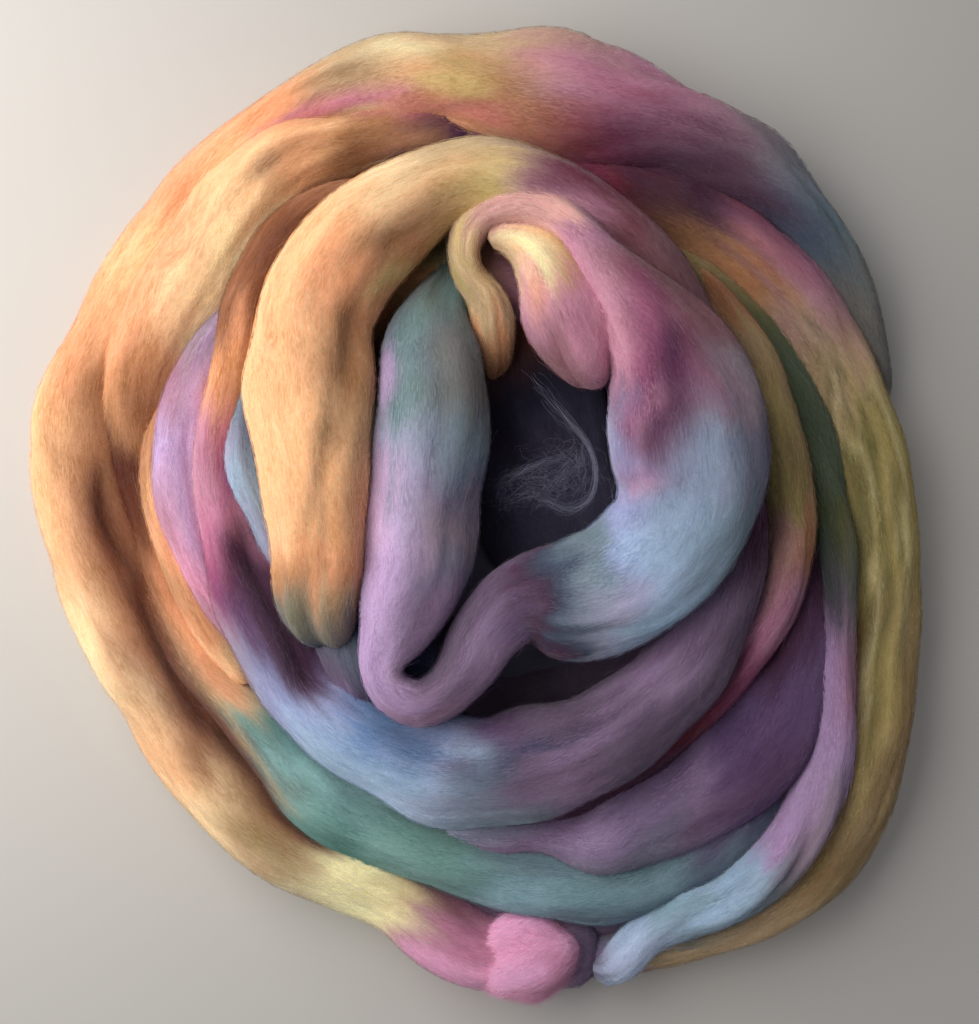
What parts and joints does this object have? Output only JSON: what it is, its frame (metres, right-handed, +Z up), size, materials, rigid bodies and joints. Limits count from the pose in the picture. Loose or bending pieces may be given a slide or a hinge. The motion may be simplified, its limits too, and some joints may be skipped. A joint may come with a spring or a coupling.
{
  "type": "wool roving nest",
  "caption": "Loose nest of hand-dyed wool roving, one soft combed rope wound round and round into a low coil, with its last turns looped on top round a hollow.",
  "frame": {"origin": "the middle of the coil's outline, on the surface that it lies on", "axes": "+Z up out of the coil; +Y towards the far side as seen in the picture, along the coil's longer way; +X to its right"},
  "size_m": [0.2383, 0.2595, 0.0711],
  "materials": {
    "wool": "matt combed wool fibre, dyed along its length from apricot through butter yellow, rose, magenta, purple, lavender, light blue, slate and teal"
  },
  "bodies": {
    "root": {"roving": "wool"}
  },
  "joints": []
}
